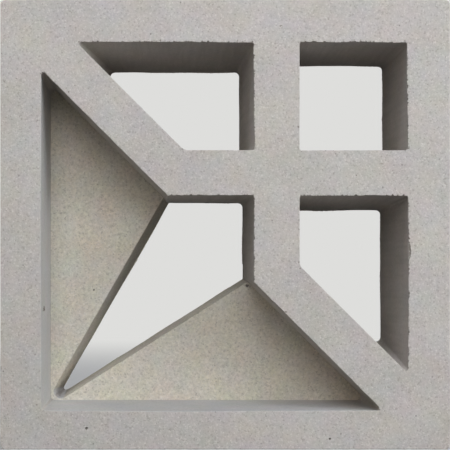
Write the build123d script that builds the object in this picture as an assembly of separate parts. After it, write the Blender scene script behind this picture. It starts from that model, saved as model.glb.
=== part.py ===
from build123d import *
import os

# Pierced concrete screen block, cast in one piece, in millimetres.
# X runs across the face, Y from the face to the back, and Z up from the bed.
# The origin is the middle of the bed. Outlines are drawn as (x, z) about the
# middle of the face, with their corners counter-clockwise as seen from the front.

# Overall size of the cast block
block_side = 290.0
block_depth = 90.0
outer_corner_radius = 3.0

# Rim and bars, as they show on the face
rim_width = 27.0
recess_left_rim = 26.2
recess_bottom_rim = 25.0
bar_width = 29.3
# The upright bar lies this far right of the middle of the face, and the level bar as far above it.
bar_offset = 33.35
diagonal_bar_width = 28.3
# The diagonal bars lie this far off the block's own diagonal, towards the square opening.
diagonal_bar_shift = 1.1

# Web at the back of the recess, and the kite-shaped opening through it
web_thickness = 30.0
# The kite's upper left corner stands this far beside the corner of the diagonal bar.
kite_corner_step = 4.1
# The kite's two long sides aim at a point this far outside the recess's lower left corner.
kite_aim_beside = 6.6
kite_aim_below = 8.2

# How far the walls lean in between their front and back edges, so that the block leaves its
# mould. The cores are not quite alike, and stand a little askew.
square_draft = 1.7
upper_rim_draft = 6.2
upper_bar_draft = 4.9
lower_rim_draft = 3.2
lower_bar_draft = 5.4
recess_draft = 1.0
level_bar_draft = 0.2
upright_bar_draft = 2.4
kite_left_draft = 4.3
kite_lower_draft = 2.4

# Radii of the upright corners, on the face and at the back
face_radius = 1.5
back_radius = 3.5
obtuse_radius = 6.0
kite_tip_face_radius = 5.0
kite_tip_back_radius = 1.8

# Places worked out from the sizes above
rim_edge = block_side / 2 - rim_width
bar_near = bar_offset - bar_width / 2
bar_far = bar_offset + bar_width / 2
recess_left = recess_left_rim - block_side / 2
recess_bottom = recess_bottom_rim - block_side / 2
# On each edge of a diagonal bar, x + z has one of these two values.
diagonal_near = (diagonal_bar_shift - diagonal_bar_width / 2) * 2**0.5
diagonal_far = (diagonal_bar_shift + diagonal_bar_width / 2) * 2**0.5


def plane_at(depth):
    """Return the upright plane that lies at a depth behind the face."""
    return Plane.XZ.offset(block_depth / 2 - depth) * Pos(0, block_side / 2)


def moved_in(corners, drafts):
    """Return an outline's corners after each side has moved inward by its own draft.

    A side and its draft have the same number as the corner that the side starts from.
    """
    inner = []
    for number, corner in enumerate(corners):
        after = corners[(number + 1) % len(corners)]
        arriving = (Vector(*corner) - Vector(*corners[number - 1])).normalized()
        leaving = (Vector(*after) - Vector(*corner)).normalized()
        turn = arriving.cross(leaving).Z
        step = (leaving * drafts[number - 1] - arriving * drafts[number]) * (1 / turn)
        inner.append((corner[0] + step.X, corner[1] + step.Y))
    return inner


def outline_face(corners, radii, depth):
    """Return a flat face with rounded corners at a depth behind the face."""
    return plane_at(depth) * make_face(FilletPolyline(*corners, radius=radii, close=True))


def mould_core(corners, drafts, face_radii, back_radii, start=0.0):
    """Return the tapered core that leaves an opening, from a start depth to the back."""
    front = outline_face(corners, face_radii, start)
    back = outline_face(moved_in(corners, drafts), back_radii, block_depth)
    return loft([front, back], ruled=True)


def across_diagonal(corners):
    """Return an outline mirrored about the line that joins the square and the recess corner."""
    return [(z, x) for x, z in reversed(corners)]


def cast_body():
    """Return the block as a full slab with its four outer corners rounded."""
    slab = extrude(plane_at(block_depth) * Rectangle(block_side, block_side), block_depth)
    return fillet(slab.edges().filter_by(Axis.Y), outer_corner_radius)


def square_core():
    """Return the core of the square opening in the upper right corner."""
    corners = [(bar_far, bar_far), (rim_edge, bar_far), (rim_edge, rim_edge), (bar_far, rim_edge)]
    return mould_core(corners, [square_draft] * 4, [face_radius] * 4, [back_radius] * 4)


def trapezoid_cores():
    """Return the cores of the two trapezoid openings on either side of the square one."""
    upper = [
        (diagonal_far - rim_edge, rim_edge),
        (diagonal_far - bar_far, bar_far),
        (bar_near, bar_far),
        (bar_near, rim_edge),
    ]
    lower = across_diagonal(upper)
    upper_drafts = [upper_bar_draft] * 3 + [upper_rim_draft]
    lower_drafts = [lower_bar_draft] * 3 + [lower_rim_draft]
    face_radii = [face_radius, obtuse_radius, face_radius, face_radius]
    back_radii = [back_radius, obtuse_radius, back_radius, back_radius]
    return [
        mould_core(upper, upper_drafts, face_radii, back_radii),
        mould_core(lower, lower_drafts, face_radii[::-1], back_radii[::-1]),
    ]


def recess_core():
    """Return the core of the large recess, as if it ran right through the block."""
    corners = [
        (recess_left, diagonal_near - recess_left),
        (recess_left, recess_bottom),
        (diagonal_near - recess_bottom, recess_bottom),
        (bar_near, diagonal_near - bar_near),
        (bar_near, bar_near),
        (diagonal_near - bar_near, bar_near),
    ]
    drafts = [recess_draft, recess_draft, recess_draft, upright_bar_draft, level_bar_draft, recess_draft]
    rounded = [1, 1, 1, 0, 1, 0]
    face_radii = [face_radius * corner for corner in rounded]
    back_radii = [back_radius * corner for corner in rounded]
    return mould_core(corners, drafts, face_radii, back_radii)


def kite_core():
    """Return the core of the kite through the web, reaching past the bars on its short sides."""
    aim = Vector(recess_left - kite_aim_beside, recess_bottom - kite_aim_below)
    upper_corner = Vector(diagonal_near - bar_near - kite_corner_step, bar_near)
    lower_corner = Vector(bar_near, diagonal_near - bar_near)
    upper_end = aim + (upper_corner - aim) * ((bar_offset - aim.Y) / (upper_corner.Y - aim.Y))
    lower_end = aim + (lower_corner - aim) * ((bar_offset - aim.X) / (lower_corner.X - aim.X))
    corners = [(aim.X, aim.Y), (lower_end.X, lower_end.Y), (bar_offset, bar_offset), (upper_end.X, upper_end.Y)]
    drafts = [kite_lower_draft, 0, 0, kite_left_draft]
    face_radii = [kite_tip_face_radius, 0, 0, 0]
    back_radii = [kite_tip_back_radius, 0, 0, 0]
    return mould_core(corners, drafts, face_radii, back_radii, block_depth - web_thickness)


def screen_block():
    """Return the finished block: the slab less every core."""
    through = recess_core()
    web = extrude(plane_at(block_depth) * Rectangle(block_side, block_side), web_thickness)
    block = cast_body() - square_core() - trapezoid_cores()
    return block - (through - web) - (through & kite_core())


block = screen_block()
os.makedirs("parts", exist_ok=True)
export_step(block, "parts/screen_block.step")
print("volume in litres", round(block.volume / 1e6, 3))
print("box", block.bounding_box())
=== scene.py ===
import math
import random

import bmesh
import bpy
from bpy.props import FloatProperty, FloatVectorProperty, IntProperty, PointerProperty
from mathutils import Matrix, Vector, noise


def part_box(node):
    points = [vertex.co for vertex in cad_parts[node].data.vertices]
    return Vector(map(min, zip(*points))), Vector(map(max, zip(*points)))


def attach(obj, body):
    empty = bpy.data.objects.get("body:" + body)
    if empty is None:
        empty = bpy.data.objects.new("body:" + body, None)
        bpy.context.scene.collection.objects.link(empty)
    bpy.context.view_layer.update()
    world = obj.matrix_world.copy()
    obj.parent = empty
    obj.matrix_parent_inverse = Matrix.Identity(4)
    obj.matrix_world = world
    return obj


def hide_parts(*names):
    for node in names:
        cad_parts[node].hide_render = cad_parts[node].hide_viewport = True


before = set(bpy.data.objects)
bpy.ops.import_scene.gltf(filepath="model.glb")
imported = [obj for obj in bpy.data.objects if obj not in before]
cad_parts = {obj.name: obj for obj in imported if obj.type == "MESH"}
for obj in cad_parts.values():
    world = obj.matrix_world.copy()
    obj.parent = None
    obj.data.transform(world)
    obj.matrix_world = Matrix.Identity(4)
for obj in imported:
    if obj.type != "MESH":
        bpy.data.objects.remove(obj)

bl_info = {
    "name": "Pierced concrete screen block",
    "version": (1, 0, 0),
    "blender": (4, 5, 0),
    "location": "3D View > Sidebar > Screen block",
    "description": "Dresses the cast block with crumbled arrises, pits and a dry-cast concrete finish",
    "category": "Object",
}

# The block as the frame gives it, in metres. Its face is towards -Y, and it stands on Z = 0.
BLOCK_NODE = "screen_block"
BLOCK_LOW, BLOCK_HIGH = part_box(BLOCK_NODE)
FACE = BLOCK_LOW.y
BACK = BLOCK_HIGH.y
MILLIMETRE = 0.001

# Points closer than this are one point, and edges shorter than a hair are none
WELD = 0.01 * MILLIMETRE
HAIR = 0.001 * MILLIMETRE

# Where the surface is cut upright through the openings, from the middle of the face
CUTS_ACROSS = (-15 * MILLIMETRE, 83 * MILLIMETRE)

# What lies farther left, lower or deeper than this is in the recess's left wall, lower wall or web
LEFT_WALL_FROM = -100 * MILLIMETRE
LOWER_WALL_FROM = 40 * MILLIMETRE
WEB_FROM = FACE + 55 * MILLIMETRE

# Nearer than this to the block's outline, seen from the front, an edge is the outline's own
OUTLINE_ROOM = 4 * MILLIMETRE

# How far faces turn at an edge: less where they are one flat face, more at an arris than along a curve,
# and more than SHADED_SHARP where the shading shows an edge
FLAT_TURN = math.radians(0.4)
ARRIS_TURN = math.radians(38)
SHADED_SHARP = math.radians(32)

# An arris and an inward edge this close to one another pinch the corner where they meet. Within
# PINCH_ROOM of it the arris stays sharp, because there is no room to wear it.
PINCH_TURN = math.radians(15)
PINCH_ROOM = 12 * MILLIMETRE

# How wide a small chip may be, in millimetres, and a small pit at least and at most
CHIP_WIDTHS = (0.7, 0.8, 0.9, 1.0, 1.2, 1.5, 2.2)
PIT_WIDTHS = (0.5, 1.2)

# Two chips or pits keep this share of their sizes' sum apart, and swell and shrink by this share
LUMP_SPACING = 0.8
LUMP_UNEVENNESS = 0.45

# Places of a mix node's inputs and output for colours
MIX_FACTOR, MIX_FIRST, MIX_SECOND = 0, 6, 7
MIX_RESULT = 2

# Where the camera stands, in millimetres, and how far its picture is shifted, as shares of its width:
# it looks straight back from a little left of the face's middle and below it
CAMERA_PLACE = (-35.6, -873.0, 117.7)
CAMERA_SHIFT = (0.1222, 0.0933)

# Places in the block's list of materials
SAND_FACE, CORE_WALL, RECESS_FLOOR, RECESS_RIM, BROKEN_AND_SHADED = range(5)

# Soft lamps: name, tilt and place around in degrees, distance and size in metres, power in watts, and
# colour. The one nearly straight behind stands far off, so that it lights no wall of an opening.
LAMPS = (
    ("overhead_lamp", 27, 88, 1.65, 0.9, 12.5, "#FAFBFF"),
    ("upper_right_lamp", 42, 45, 1.65, 0.8, 1.5, "#84BEFF"),
    ("right_lamp", 60, 0, 1.65, 0.8, 16.0, "#FCFDFF"),
    ("left_lamp", 28, 165, 1.65, 0.8, 2.0, "#FFF4EA"),
    ("front_lamp", 6, 60, 1.65, 0.8, 2.7, "#FFF6EE"),
    ("high_lamp", 65, 90, 1.65, 0.66, 7.4, "#EFF5FF"),
    ("high_left_lamp", 70, 125, 1.65, 0.66, 3.1, "#F2F4FF"),
    ("side_lamp", 78, 10, 1.65, 0.66, 6.0, "#FAFCFF"),
    ("left_side_lamp", 90, 180, 1.65, 0.08, 10.0, "#FFFFFF"),
    ("high_rear_lamp", 145, 62, 1.65, 0.4, 5.0, "#FFFFFF"),
    ("rear_lamp", 177.5, 50, 7.0, 0.2, 270.0, "#FFFFFF"),
)

# How the cores' worn front edges bend the openings' edges on the face: millimetres right of the face's
# middle and above the bed, how far along the bend reaches, then how far it goes right and up
BENDS = (
    (118.0, 246.0, 26.0, -0.6, 0.0),
    (112.0, 263.0, 14.0, 0.0, -0.5),
    (72.0, 263.0, 6.0, 0.0, -0.35),
    (10.0, 263.0, 18.0, 0.0, -0.4),
    (18.7, 254.0, 12.0, -0.3, 0.0),
    (18.7, 201.0, 8.0, 0.4, 0.0),
    (97.0, 163.7, 11.0, 0.0, 0.45),
    (118.0, 110.0, 50.0, 0.5, 0.0),
    (-15.0, 163.7, 30.0, 0.0, 0.35),
    (14.0, 163.7, 12.0, 0.0, 0.4),
    (18.7, 148.0, 6.0, 0.25, 0.0),
    (18.7, 135.0, 25.0, -0.12, 0.0),
    (-118.8, 150.0, 55.0, -0.4, 0.0),
    (-35.0, 25.0, 50.0, 0.0, -0.5),
)

# The larger pits, and the worn place on an edge: millimetres right of the face's middle, above the bed
# and behind the face, then width, height and depth
PITS = (
    (-89.5, 13.5, 0.0, 2.0, 2.2, 2.4),
    (67.4, 6.8, 0.0, 1.6, 1.5, 1.2),
    (-118.9, 90.0, 19.6, 3.4, 3.8, 6.0),
    (17.9, 104.7, 60.0, 2.6, 2.2, 1.8),
    (-88.3, 101.8, 60.0, 1.4, 1.4, 0.9),
    (35.8, 273.2, 0.0, 1.5, 1.2, 0.9),
    (-48.0, 268.0, 0.0, 1.2, 1.0, 0.8),
    (118.4, 127.5, 0.0, 3.2, 13.0, 1.8),
)


def linear(colour):
    """Return a colour written as sRGB hex in the linear values that shaders read."""
    channels = [int(colour[place:place + 2], 16) / 255 for place in (1, 3, 5)]
    return tuple(c / 12.92 if c <= 0.04045 else ((c + 0.055) / 1.055) ** 2.4 for c in channels)


class ArrisSettings(bpy.types.PropertyGroup):
    """Sizes of the crumbled edges, chips and pits."""

    width: FloatProperty(
        name="Arris width", description="Width of the worn strip on each side of an edge",
        default=0.4 * MILLIMETRE, unit="LENGTH", precision=5)
    step: FloatProperty(
        name="Grain step", description="Distance between the points that crumble along an edge",
        default=0.6 * MILLIMETRE, unit="LENGTH", precision=5)
    ragged: FloatProperty(
        name="Ragged edge", description="How far the face crumbles over a wall that faces down or left",
        default=0.75 * MILLIMETRE, unit="LENGTH", precision=5)
    clean: FloatProperty(
        name="Clean edge", description="How far the other edges crumble",
        default=0.3 * MILLIMETRE, unit="LENGTH", precision=5)
    flash: FloatProperty(
        name="Flash", description="How far the thin lip at the back of the openings stands in",
        default=0.9 * MILLIMETRE, unit="LENGTH", precision=5)
    chips: IntProperty(
        name="Chips", description="Number of small chips along the edges of the openings", default=260)
    pits: IntProperty(
        name="Pits", description="Number of pits scattered over the face and the back", default=70)
    seed: IntProperty(name="Seed", description="Seed of the scattered chips and pits", default=7)


class ConcreteSettings(bpy.types.PropertyGroup):
    """Colours and grain of the concrete."""

    cement: FloatVectorProperty(
        name="Cement", description="Pale grey of the rubbed face", subtype="COLOR", size=3,
        default=linear("#BBB6AF"))
    web: FloatVectorProperty(
        name="Web", description="Warmer grey of the recess's floor", subtype="COLOR", size=3,
        default=linear("#CBC5B6"))
    wall: FloatVectorProperty(
        name="Wall", description="Grey of the smooth walls that the cores left", subtype="COLOR", size=3,
        default=linear("#B8B2AB"))
    rim: FloatVectorProperty(
        name="Recess rim", description="Paler grey of the recess's left and lower walls", subtype="COLOR",
        size=3, default=linear("#B6B4B0"))
    # Partly painted shade: this grey is darker than the wall's to stand for the shade inside chips, pits
    # and crumbled arrises
    broken_and_shaded: FloatVectorProperty(
        name="Broken", description="Darker grey inside chips, pits and crumbled arrises", subtype="COLOR",
        size=3, default=linear("#97928A"))
    dark_sand: FloatVectorProperty(
        name="Dark sand", description="Brown-grey of the dark sand grains", subtype="COLOR", size=3,
        default=linear("#8C867B"))
    pale_sand: FloatVectorProperty(
        name="Pale sand", description="Cream of the pale sand grains", subtype="COLOR", size=3,
        default=linear("#D2CEC7"))
    grain: FloatProperty(
        name="Sand grain", description="Size of a grain of the sand", default=0.9 * MILLIMETRE,
        unit="LENGTH", precision=5)


class StageSettings(bpy.types.PropertyGroup):
    """Floor, light and camera."""

    floor_colour: FloatVectorProperty(
        name="Floor", description="Colour of the floor and the background", subtype="COLOR", size=3,
        default=linear("#DEDEDC"))
    floor_radius: FloatProperty(
        name="Floor radius", description="Radius of the round floor", default=8.0, unit="LENGTH")
    floor_bounce: FloatVectorProperty(
        name="Floor bounce", description="Colour of the light that the floor gives back", subtype="COLOR",
        size=3, default=linear("#555555"))
    lens: FloatProperty(
        name="Lens", description="Focal length in millimetres", default=102.67)


def add_node(tree, kind, inputs=None, **settings):
    """Add a node with its settings, and fill its inputs with values or with other nodes' outputs."""
    node = tree.nodes.new(kind)
    for name, value in settings.items():
        setattr(node, name, value)
    for name, value in (inputs or {}).items():
        if isinstance(value, bpy.types.NodeSocket):
            tree.links.new(value, node.inputs[name])
        else:
            node.inputs[name].default_value = value
    return node


def emptied_tree(owner):
    """Return the node tree of a material or a world, with no node in it."""
    owner.use_nodes = True
    owner.node_tree.nodes.clear()
    return owner.node_tree


def calculated(tree, operation, *values):
    """Return the outcome of a sum on single values."""
    node = add_node(tree, "ShaderNodeMath", dict(enumerate(values)), operation=operation)
    return node.outputs["Value"]


def mapped(tree, value, low, high, to_low, to_high, **settings):
    """Return a value carried over from one range to another, and held within it."""
    node = add_node(tree, "ShaderNodeMapRange", {
        "Value": value, "From Min": low, "From Max": high, "To Min": to_low, "To Max": to_high}, **settings)
    return node.outputs["Result"]


def mixed(tree, first, second, factor=1.0, blend="MIX"):
    """Return a first colour with a second one mixed into it, or multiplied with it."""
    node = add_node(
        tree, "ShaderNodeMix", {MIX_FACTOR: factor, MIX_FIRST: first, MIX_SECOND: second},
        data_type="RGBA", blend_type=blend)
    return node.outputs[MIX_RESULT]


def noise_texture(tree, place, across, detail, roughness):
    """Return a node of noise whose lumps are about so far across."""
    return add_node(tree, "ShaderNodeTexNoise", {
        "Vector": place, "Scale": 1 / across, "Detail": detail, "Roughness": roughness})


def cell_texture(tree, place, across):
    """Return a node of scattered cells about so far across, and its three random values for each cell."""
    cells = add_node(tree, "ShaderNodeTexVoronoi", {
        "Vector": place, "Scale": 1 / across, "Randomness": 1.0})
    chance = add_node(tree, "ShaderNodeSeparateColor", {"Color": cells.outputs["Color"]})
    return cells, chance


def concrete(name, colour, settings, streaks=0.0, sand=1.0, grit=1.0, pores=0.4, stain=0.8, painted_shading_at_back=1.0):
    """Return dry-cast concrete in one colour: matt, sandy, and mottled where the cement dried unevenly.

    The shares streaks to stain scale what they name. The last share is the painted shading at the block's
    back, where 1 is the tone at its face: below 1 it darkens the colour towards the back as painted
    shade, above 1 it lightens it as painted light.
    """
    material = bpy.data.materials.new(name)
    tree = emptied_tree(material)
    place = add_node(tree, "ShaderNodeTexCoord").outputs["Object"]

    # Patches 40 mm across, where more or less water came to the surface, and painted shading that changes
    # with depth from the face to the back
    patches = noise_texture(tree, place, 40 * MILLIMETRE, 3.0, 0.55)
    patch_tone = mapped(tree, patches.outputs["Fac"], 0.3, 0.7, 0.955, 1.045)
    behind = add_node(tree, "ShaderNodeSeparateXYZ", {"Vector": place})
    painted_depth_shading = mapped(tree, behind.outputs["Y"], FACE, BACK, 1.0, painted_shading_at_back)
    tone = calculated(tree, "MULTIPLY", patch_tone, painted_depth_shading)
    toned = mixed(tree, (*colour, 1.0), tone, blend="MULTIPLY")

    # Faint stains 18 mm across, from the sand's clay and the cement's lime. The noise's three channels
    # differ, so the tint wanders between cream, green-grey and violet-grey, and blue varies most.
    stains = noise_texture(tree, place, 18 * MILLIMETRE, 2.0, 0.6)
    reach = Vector((0.17, 0.11, 0.22)) * stain
    tint = add_node(tree, "ShaderNodeVectorMath", {
        0: stains.outputs["Color"], 1: reach, 2: Vector((1, 1, 1)) - reach / 2}, operation="MULTIPLY_ADD")
    stained = mixed(tree, toned, tint.outputs["Vector"], blend="MULTIPLY")

    # Sand grains about 1 mm across: one in five dark, and one in four pale
    grains, grain_chance = cell_texture(tree, place, settings.grain)
    dark = mapped(tree, grain_chance.outputs["Red"], 0.8, 1.0, 0.0, 0.42 * sand)
    pale = mapped(tree, grain_chance.outputs["Green"], 0.75, 1.0, 0.0, 0.5 * sand)
    darkened = mixed(tree, stained, (*settings.dark_sand, 1.0), dark)
    sanded = mixed(tree, darkened, (*settings.pale_sand, 1.0), pale)

    # Lumps of grit 2 mm across with finer grit in them, drawn no finer because the picture would lose it
    lumps = noise_texture(tree, place, 2.2 * MILLIMETRE, 2.0, 0.85)
    grit_tone = mapped(tree, lumps.outputs["Fac"], 0.3, 0.7, 1 - 0.075 * grit, 1 + 0.075 * grit)
    gritty = mixed(tree, sanded, grit_tone, blend="MULTIPLY")

    # Faint streaks 3.5 mm wide along the way that the cores were drawn, front to back
    drawn = add_node(tree, "ShaderNodeMapping", {"Vector": place, "Scale": (1.0, 0.04, 1.0)})
    streak = noise_texture(tree, drawn.outputs["Vector"], 3.5 * MILLIMETRE, 3.0, 0.6)
    streak_tone = mapped(tree, streak.outputs["Fac"], 0.3, 0.7, 1 - 0.08 * streaks, 1 + 0.08 * streaks)
    streaked = mixed(tree, gritty, streak_tone, blend="MULTIPLY")

    # Pores up to 1 mm across, in about one of every seven cells of 3.6 mm, drawn darker as painted shade
    # inside them
    cells, cell_chance = cell_texture(tree, place, 3.6 * MILLIMETRE)
    deepness = mapped(tree, cell_chance.outputs["Blue"], 0.86, 1.0, 0.0, 1.0)
    hole = mapped(
        tree, cells.outputs["Distance"], 0.05, 0.24, 1.0, 0.0, interpolation_type="SMOOTHSTEP")
    pore = calculated(tree, "MULTIPLY", hole, deepness)
    shade = mapped(tree, pore, 0.0, 1.0, 1.0, 1 - pores)
    pored = mixed(tree, streaked, shade, blend="MULTIPLY")

    # The same grit, grains and pores in relief, about 0.1 mm high
    grain_height = calculated(tree, "MULTIPLY_ADD", grains.outputs["Distance"], -0.5, lumps.outputs["Fac"])
    height = calculated(tree, "MULTIPLY_ADD", pore, -1.5, grain_height)
    relief = add_node(tree, "ShaderNodeBump", {
        "Strength": 0.6 * sand, "Distance": 0.15 * MILLIMETRE, "Height": height})

    surface = add_node(tree, "ShaderNodeBsdfPrincipled", {
        "Base Color": pored, "Roughness": 0.93, "IOR": 1.5, "Specular IOR Level": 0.3,
        "Normal": relief.outputs["Normal"]})
    add_node(tree, "ShaderNodeOutputMaterial", {"Surface": surface.outputs["BSDF"]})
    return material


def whole_faces(node):
    """Return the frame's block as one welded surface whose flat faces are whole.

    Two upright cuts pass through the openings, so that no face has a hole in it.
    """
    cast = bmesh.new()
    cast.from_mesh(node.data)
    bmesh.ops.remove_doubles(cast, verts=cast.verts, dist=WELD)
    for across in CUTS_ACROSS:
        made = bmesh.ops.bisect_plane(
            cast, geom=cast.verts[:] + cast.edges[:] + cast.faces[:], dist=HAIR,
            plane_co=(across, 0, 0), plane_no=(1, 0, 0))
        for part in made["geom_cut"]:
            if isinstance(part, bmesh.types.BMEdge):
                part.seam = True
    bmesh.ops.dissolve_limit(
        cast, angle_limit=FLAT_TURN, use_dissolve_boundaries=False,
        verts=cast.verts, edges=cast.edges, delimit={"SEAM"})
    return cast


def arrises(cast):
    """Return the block's sharp outward edges."""
    return [
        edge for edge in cast.edges
        if edge.is_manifold and edge.calc_face_angle_signed() > ARRIS_TURN
    ]


def pinched_corners(cast):
    """Return the places where an arris and an inward edge run into one another at a narrow angle."""
    places = []
    outward = set(arrises(cast))
    for vertex in cast.verts:
        for arris in outward.intersection(vertex.link_edges):
            along = arris.other_vert(vertex).co - vertex.co
            for edge in set(vertex.link_edges) - outward:
                inward = edge.is_manifold and edge.calc_face_angle_signed() < -ARRIS_TURN
                if inward and along.angle(edge.other_vert(vertex).co - vertex.co) < PINCH_TURN:
                    places.append(vertex.co.copy())
    return places


def part_of_block(face):
    """Return the material place for a face, from the way that it looks and how deep it lies."""
    middle = face.calc_center_median()
    towards = face.normal
    if abs(towards.y) < 0.5 and inside_outline(middle):
        on_left_wall = towards.x > 0.9 and middle.x < LEFT_WALL_FROM
        on_lower_wall = towards.z > 0.9 and middle.z < LOWER_WALL_FROM
        on_long_side_of_kite = middle.y > WEB_FROM and towards.x + towards.z < 0.6
        if on_long_side_of_kite:
            return RECESS_FLOOR
        return RECESS_RIM if on_left_wall or on_lower_wall else CORE_WALL
    if towards.y < -0.5 and middle.y > (FACE + BACK) / 2:
        return RECESS_FLOOR
    return SAND_FACE


def worn_arrises(cast, settings):
    """Bevel every arris into a narrow strip with a point at each grain step, and return its faces.

    A point with only two edges is left where an arris was cut but not bevelled, so it is dissolved.
    """
    for face in cast.faces:
        face.material_index = part_of_block(face)
    pinched = pinched_corners(cast)
    by_cuts = {}
    for edge in arrises(cast):
        by_cuts.setdefault(int(edge.calc_length() / settings.step), []).append(edge)
    for cuts, edges in by_cuts.items():
        if cuts:
            bmesh.ops.bisect_edges(cast, edges=edges, cuts=cuts)
    bend_edges(cast)
    roomy = [
        edge for edge in arrises(cast)
        if all((vertex.co - place).length > PINCH_ROOM for vertex in edge.verts for place in pinched)
    ]
    made = bmesh.ops.bevel(
        cast, geom=roomy, affect="EDGES", offset_type="OFFSET", offset=settings.width, segments=3,
        profile=0.5, material=-1, clamp_overlap=False, loop_slide=True)
    between = [vertex for vertex in cast.verts if len(vertex.link_edges) == 2]
    bmesh.ops.dissolve_verts(cast, verts=between)
    return [face for face in made["faces"] if face.is_valid]


def bend_edges(cast):
    """Bend the openings' edges on the face a little, within the face."""
    for vertex in cast.verts:
        if vertex.co.y - FACE < WELD and inside_outline(vertex.co):
            across, above = vertex.co.x / MILLIMETRE, vertex.co.z / MILLIMETRE
            for middle, height, reach, right, up in BENDS:
                share = math.exp(-((across - middle) ** 2 + (above - height) ** 2) / reach ** 2)
                vertex.co.x += share * right * MILLIMETRE
                vertex.co.z += share * up * MILLIMETRE


def crumbling(place):
    """Return a noise of lumps 4 mm and 1.4 mm across, and of 0.6 mm grains, mostly between -1 and 1."""
    spot = place / MILLIMETRE
    return 0.9 * noise.noise(spot * 0.25) + 0.7 * noise.noise(spot * 0.7) + 0.4 * noise.noise(spot * 1.6)


def grain_loss(place):
    """Return how much has crumbled off at a place seen from the front, from -0.5 to 1.

    Below 0, grains stand out past the edge. The losses are about 1 mm long, in groups of about 3 mm.
    """
    spot = Vector((place.x, 0, place.z)) / MILLIMETRE
    loss = -0.22 + 0.4 * noise.noise(spot * 0.3) + 2.4 * noise.noise(spot * 1.1 + Vector((7, 7, 7)))
    return min(max(loss, -0.5), 1.0)


def ragged_side(vertex, strip_faces):
    """Return the way into the face from an arris whose wall faces down or left in an opening, or None."""
    strip = sum((face.normal for face in vertex.link_faces if face in strip_faces), Vector())
    side = Vector((strip.x, 0, strip.z))
    faces_straight_out = side.length < 1e-4
    if faces_straight_out or strip.y > 0 or not inside_outline(vertex.co):
        return None
    side.normalize()
    return -side if min(side.x, side.z) < -0.8 else None


def ragged_move(vertex, into, on_face, on_wall, settings):
    """Return the move of a point on a ragged arris, from the face into the wall under it.

    A loss goes twice as far down the wall as it goes into the face.
    """
    loss = grain_loss(vertex.co) * settings.ragged
    back = Vector((0, 1, 0))
    if on_face:
        return into * loss
    if on_wall:
        return back * (2.0 * max(loss, 0))
    share = min((vertex.co.y - FACE) / settings.width, 1.0)
    return into * (loss * (1 - share * 0.8)) + back * (2.0 * share * max(loss, 0))


def crumble(cast, strips, settings):
    """Move the strips' points by a fixed noise, as grains fell from the arris or were left on it.

    A point that a flat face shares slides within that face, so the face stays flat. The flash at the
    back of the openings comes and goes about every 30 mm.
    """
    strip_faces = set(strips)
    moves = {}
    for vertex in {vertex for face in strips for vertex in face.verts}:
        beside = [face for face in vertex.link_faces if face not in strip_faces]
        on_face = any(abs(face.normal.y) > 0.9 for face in beside)
        lookout = vertex.normal
        into = ragged_side(vertex, strip_faces)
        if into is not None:
            moves[vertex] = ragged_move(vertex, into, on_face, bool(beside) and not on_face, settings)
            continue
        rough = crumbling(vertex.co)
        if beside:
            # Where it meets a flat face, the strip grows wider or narrower
            flat = max(beside, key=lambda face: face.calc_area())
            inward = flat_direction(vertex, flat, strip_faces)
            if inward is not None:
                moves[vertex] = inward * (max(rough - 0.1, -0.4) * settings.clean)
        elif lookout.y > 0.2 and inside_outline(vertex.co):
            # At the back of an opening, a thin lip of flash stands in
            lip = max(0.0, 0.35 + noise.noise(vertex.co / MILLIMETRE * 0.035)) * (0.7 + 0.6 * abs(rough))
            moves[vertex] = Vector((lookout.x, 0, lookout.z)).normalized() * (settings.flash * lip)
        else:
            # Along the middle of the strip, the arris sinks in or swells a little
            moves[vertex] = lookout * (-(rough + 0.2) * 0.5 * settings.clean)
    # Strips on ragged arrises over walls that face down or left take the darker broken grey, partly painted
    # shade in the crumbled arris
    for face in strips:
        out = face.normal
        upright_or_level = abs(out.x * out.z) < 0.05
        faces_down_or_left = min(out.x, out.z) < -0.3 and out.y < 0
        if upright_or_level and faces_down_or_left and inside_outline(face.verts[0].co):
            face.material_index = BROKEN_AND_SHADED
    for vertex, move in moves.items():
        place = vertex.co + move
        vertex.co = [min(max(place[i], BLOCK_LOW[i]), BLOCK_HIGH[i]) for i in range(3)]


def inside_outline(place):
    """Return whether a place lies well inside the block's outline, seen from the front."""
    return (
        BLOCK_LOW.x + OUTLINE_ROOM < place.x < BLOCK_HIGH.x - OUTLINE_ROOM
        and BLOCK_LOW.z + OUTLINE_ROOM < place.z < BLOCK_HIGH.z - OUTLINE_ROOM
    )


def flat_direction(vertex, flat, strip_faces):
    """Return the way from a strip's outer point into the flat face beside it, or None."""
    way = Vector()
    for edge in vertex.link_edges:
        other = edge.other_vert(vertex)
        if all(face in strip_faces for face in edge.link_faces) and not any(
                face not in strip_faces for face in other.link_faces):
            way += vertex.co - other.co
    way -= flat.normal * way.dot(flat.normal)
    return way.normalized() if way.length > 1e-7 else None


def add_lump(lumps, middle, size, dice):
    """Add an uneven lump of a size across to the mesh of lumps to cut away."""
    made = bmesh.ops.create_icosphere(lumps, subdivisions=2, radius=0.5)
    shift = Vector([dice.uniform(-9, 9) for _ in range(3)])
    for vertex in made["verts"]:
        vertex.co *= 1 + LUMP_UNEVENNESS * noise.noise(vertex.co * 3.0 + shift)
        vertex.co = middle + Vector([across * grown for across, grown in zip(vertex.co, size)])


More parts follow.
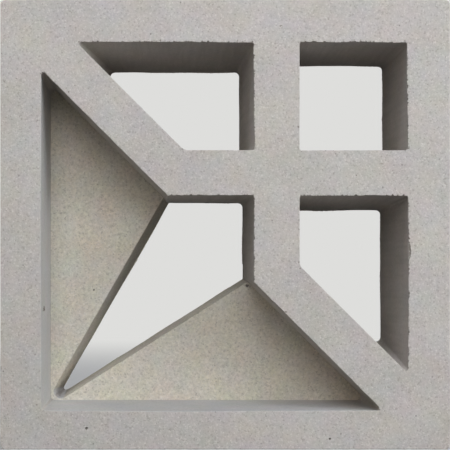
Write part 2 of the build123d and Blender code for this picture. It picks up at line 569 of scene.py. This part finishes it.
def chips_and_pits(edge_points, settings):
    """Return the lumps that leave the chips on the openings' edges and the pits on both faces."""
    dice = random.Random(settings.seed)
    wanted = []
    for across, height, behind, wide, tall, deep in PITS:
        middle = Vector((across * MILLIMETRE, FACE + behind * MILLIMETRE, height * MILLIMETRE))
        wanted.append((middle, Vector((wide, 2 * deep, tall)) * MILLIMETRE))
    for _ in range(settings.chips):
        spread = dice.choice(CHIP_WIDTHS)
        beside = Vector((dice.uniform(-1, 1), 0, dice.uniform(-1, 1))) * MILLIMETRE
        middle = dice.choice(edge_points) + beside
        wanted.append((middle, Vector((spread, dice.uniform(0.7, 1.3), spread)) * MILLIMETRE))
    for _ in range(settings.pits):
        middle = Vector((
            dice.uniform(BLOCK_LOW.x, BLOCK_HIGH.x), dice.choice((FACE, BACK)),
            dice.uniform(BLOCK_LOW.z, BLOCK_HIGH.z)))
        spread = dice.uniform(*PIT_WIDTHS)
        wanted.append((middle, Vector((spread, dice.uniform(0.6, 1.0), spread)) * MILLIMETRE))
    lumps = bmesh.new()
    placed = []
    for middle, size in wanted:
        if all(
                (middle - other).length > LUMP_SPACING * (size.length + its_size.length)
                for other, its_size in placed):
            placed.append((middle, size))
            add_lump(lumps, middle, size, dice)
    # The cut faces of chips and pits take the darker broken grey, partly painted shade inside them
    for face in lumps.faces:
        face.material_index = BROKEN_AND_SHADED
    return finished_object("lumps_to_cut", lumps)


def cut_away(block, lumps):
    """Cut the lumps out of the block, leave it in triangles, and delete the lumps.

    What is left flat is shaded flat, and only the worn strips and the pits are shaded round.
    """
    cut = block.modifiers.new("chips", "BOOLEAN")
    cut.operation = "DIFFERENCE"
    cut.solver = "EXACT"
    cut.material_mode = "INDEX"
    cut.object = lumps
    bpy.context.view_layer.update()
    whole = block.data
    block.data = bpy.data.meshes.new_from_object(block.evaluated_get(bpy.context.evaluated_depsgraph_get()))
    block.modifiers.clear()
    bpy.data.meshes.remove(whole)
    bpy.data.meshes.remove(lumps.data)
    cast = bmesh.new()
    cast.from_mesh(block.data)
    bmesh.ops.dissolve_degenerate(cast, dist=HAIR, edges=cast.edges)
    bmesh.ops.triangulate(cast, faces=cast.faces, quad_method="BEAUTY", ngon_method="BEAUTY")
    for face in cast.faces:
        face.smooth = True
    for edge in cast.edges:
        edge.smooth = edge.is_manifold and edge.calc_face_angle() < SHADED_SHARP
    cast.to_mesh(block.data)
    cast.free()
    shading = block.modifiers.new("flat_faces_shade_flat", "WEIGHTED_NORMAL")
    shading.keep_sharp = True


def finished_object(name, cast):
    """Return an object at the origin that holds a mesh."""
    mesh = bpy.data.meshes.new(name)
    cast.to_mesh(mesh)
    cast.free()
    piece = bpy.data.objects.new(name, mesh)
    bpy.context.scene.collection.objects.link(piece)
    return piece


def points_on_opening_edges(cast, settings):
    """Return points spread along the straight edges of the openings on the face."""
    spaces = 40
    return [
        edge.verts[0].co.lerp(edge.verts[1].co, number / spaces)
        for edge in arrises(cast)
        if all(vertex.co.y < FACE + settings.width for vertex in edge.verts)
        and inside_outline(edge.verts[0].co)
        for number in range(1, spaces)
    ]


class SCREENBLOCK_OT_cast_block(bpy.types.Operator):
    """Dress the cast block: worn arrises, pits, chips and the concrete's finish"""

    bl_idname = "screenblock.cast_block"
    bl_label = "Cast block"

    def execute(self, context):
        settings = context.scene.screenblock_arris
        mix = context.scene.screenblock_concrete
        cast = whole_faces(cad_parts[BLOCK_NODE])
        edge_points = points_on_opening_edges(cast, settings)
        strips = worn_arrises(cast, settings)
        crumble(cast, strips, settings)
        bmesh.ops.triangulate(cast, faces=cast.faces, quad_method="BEAUTY", ngon_method="BEAUTY")
        block = finished_object("cast_screen_block", cast)

        # In the order of the places SAND_FACE to BROKEN_AND_SHADED
        for material in (
            concrete("dry_cast_concrete_face", mix.cement, mix, sand=1.04, pores=0.5, stain=1.0),
            # Painted shade: the core walls darken towards the back, to 0.83 of the face's tone
            concrete(
                "dry_cast_concrete_core_wall", mix.wall, mix, streaks=0.9, sand=0.5, grit=0.7,
                pores=0.15, painted_shading_at_back=0.83),
            concrete(
                "dry_cast_concrete_recess_floor", mix.web, mix, sand=1.05, grit=1.8, pores=0.3,
                stain=1.2),
            # Painted light: the recess's left and lower walls lighten towards the back, to 1.18 of the
            # face's tone
            concrete(
                "dry_cast_concrete_recess_rim", mix.rim, mix, sand=0.6, grit=0.6, pores=0.2,
                painted_shading_at_back=1.18),
            # The broken grey is partly painted shade inside chips, pits and crumbled arrises
            concrete("dry_cast_concrete_broken_and_shaded", mix.broken_and_shaded, mix, sand=1.8, grit=1.8),
        ):
            block.data.materials.append(material)
        cut_away(block, chips_and_pits(edge_points, settings))
        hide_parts(BLOCK_NODE)
        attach(block, "root")
        return {"FINISHED"}


def seen_directly(tree):
    """Return 1 for a ray from the camera, mirrored or let through, and 0 for scattered light."""
    path = add_node(tree, "ShaderNodeLightPath")
    seen = calculated(
        tree, "MAXIMUM", path.outputs["Is Camera Ray"], path.outputs["Is Glossy Ray"])
    return calculated(tree, "MAXIMUM", seen, path.outputs["Is Transmission Ray"])


def floor_material(settings):
    """Return the floor's matt paint: pale to the camera, dimmer to the light that bounces off it.

    The paint shows shadows near the block. From 0.45 m to 1.25 m away it turns into the even tone of the
    background. Only the floor in front of the face gives light back.
    """
    material = bpy.data.materials.new("matt_stage_paint")
    tree = emptied_tree(material)
    pale = (*settings.floor_colour, 1.0)
    place = add_node(tree, "ShaderNodeTexCoord").outputs["Object"]
    away = add_node(tree, "ShaderNodeVectorMath", {0: place}, operation="LENGTH")
    far = mapped(tree, away.outputs["Value"], 0.45, 1.25, 0.0, 1.0, interpolation_type="SMOOTHSTEP")
    painted = add_node(tree, "ShaderNodeBsdfDiffuse", {"Color": pale})
    glow = add_node(tree, "ShaderNodeEmission", {"Color": pale, "Strength": 1.0})
    depth = add_node(tree, "ShaderNodeSeparateXYZ", {"Vector": place})
    in_front = calculated(tree, "LESS_THAN", depth.outputs["Y"], FACE)
    bounce = mixed(tree, (0.0, 0.0, 0.0, 1.0), (*settings.floor_bounce, 1.0), in_front)
    dim = add_node(tree, "ShaderNodeBsdfDiffuse", {"Color": bounce})
    to_camera = add_node(tree, "ShaderNodeMixShader", {
        0: far, 1: painted.outputs["BSDF"], 2: glow.outputs["Emission"]})
    either = add_node(tree, "ShaderNodeMixShader", {
        0: seen_directly(tree), 1: dim.outputs["BSDF"], 2: to_camera.outputs["Shader"]})
    add_node(tree, "ShaderNodeOutputMaterial", {"Surface": either.outputs["Shader"]})
    return material


def pale_world(settings):
    """Make the world the floor's colour to the camera, and dark to everything else."""
    world = bpy.data.worlds.new("studio")
    tree = emptied_tree(world)
    pale = (*settings.floor_colour, 1.0)
    backdrop = add_node(tree, "ShaderNodeBackground", {"Color": pale, "Strength": 1.0})
    unlit = add_node(tree, "ShaderNodeBackground", {"Strength": 0.0})
    either = add_node(tree, "ShaderNodeMixShader", {
        0: seen_directly(tree), 1: unlit.outputs["Background"], 2: backdrop.outputs["Background"]})
    add_node(tree, "ShaderNodeOutputWorld", {"Surface": either.outputs["Shader"]})
    bpy.context.scene.world = world


def soft_lamp(name, tilt, around, distance, size, power, colour):
    """Add a square lamp at a distance from the middle of the block, which it faces.

    It stands off straight in front by a tilt, in degrees, towards the right at 0 around and upwards at 90.
    """
    target = (BLOCK_LOW + BLOCK_HIGH) / 2
    aside, turn = math.radians(tilt), math.radians(around)
    towards = Vector((math.sin(aside) * math.cos(turn), -math.cos(aside), math.sin(aside) * math.sin(turn)))
    lamp = bpy.data.lights.new(name, "AREA")
    lamp.shape = "SQUARE"
    lamp.size = size
    lamp.energy = power
    lamp.color = linear(colour)
    holder = bpy.data.objects.new(name, lamp)
    holder.location = target + towards * distance
    holder.rotation_mode = "QUATERNION"
    holder.rotation_quaternion = towards.to_track_quat("Z", "Y")
    holder.visible_camera = False
    bpy.context.scene.collection.objects.link(holder)


class SCREENBLOCK_OT_stage(bpy.types.Operator):
    """Set the floor, the studio light and the camera"""

    bl_idname = "screenblock.stage"
    bl_label = "Stage"

    def execute(self, context):
        scene = context.scene
        settings = scene.screenblock_stage
        ground = bmesh.new()
        bmesh.ops.create_circle(ground, cap_ends=True, radius=settings.floor_radius, segments=96)
        floor = finished_object("floor", ground)
        floor.data.materials.append(floor_material(settings))
        pale_world(settings)
        for lamp in LAMPS:
            soft_lamp(*lamp)

        camera = bpy.data.cameras.new("camera")
        camera.sensor_width = 36.0
        camera.lens = settings.lens
        camera.shift_x, camera.shift_y = CAMERA_SHIFT
        holder = bpy.data.objects.new("camera", camera)
        holder.location = [distance * MILLIMETRE for distance in CAMERA_PLACE]
        holder.rotation_euler = (math.radians(90), 0, 0)
        scene.collection.objects.link(holder)
        scene.camera = holder
        scene.view_settings.view_transform = "Standard"
        return {"FINISHED"}


class SCREENBLOCK_PT_sidebar(bpy.types.Panel):
    """Sidebar tab with the operators that build the scene"""

    bl_idname = "SCREENBLOCK_PT_sidebar"
    bl_label = "Screen block"
    bl_space_type = "VIEW_3D"
    bl_region_type = "UI"
    bl_category = "Screen block"

    def draw(self, context):
        self.layout.operator(SCREENBLOCK_OT_cast_block.bl_idname)
        self.layout.operator(SCREENBLOCK_OT_stage.bl_idname)


CLASSES = (
    ArrisSettings, ConcreteSettings, StageSettings,
    SCREENBLOCK_OT_cast_block, SCREENBLOCK_OT_stage, SCREENBLOCK_PT_sidebar,
)


def register():
    """Register the classes, and the settings that the scene holds."""
    for kind in CLASSES:
        bpy.utils.register_class(kind)
    bpy.types.Scene.screenblock_arris = PointerProperty(type=ArrisSettings)
    bpy.types.Scene.screenblock_concrete = PointerProperty(type=ConcreteSettings)
    bpy.types.Scene.screenblock_stage = PointerProperty(type=StageSettings)


def unregister():
    """Take the settings and the classes away again, in the opposite order."""
    del bpy.types.Scene.screenblock_stage
    del bpy.types.Scene.screenblock_concrete
    del bpy.types.Scene.screenblock_arris
    for kind in reversed(CLASSES):
        bpy.utils.unregister_class(kind)


def main():
    """Register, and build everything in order."""
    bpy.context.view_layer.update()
    register()
    bpy.ops.screenblock.cast_block()
    bpy.ops.screenblock.stage()


if __name__ == "__main__":
    main()
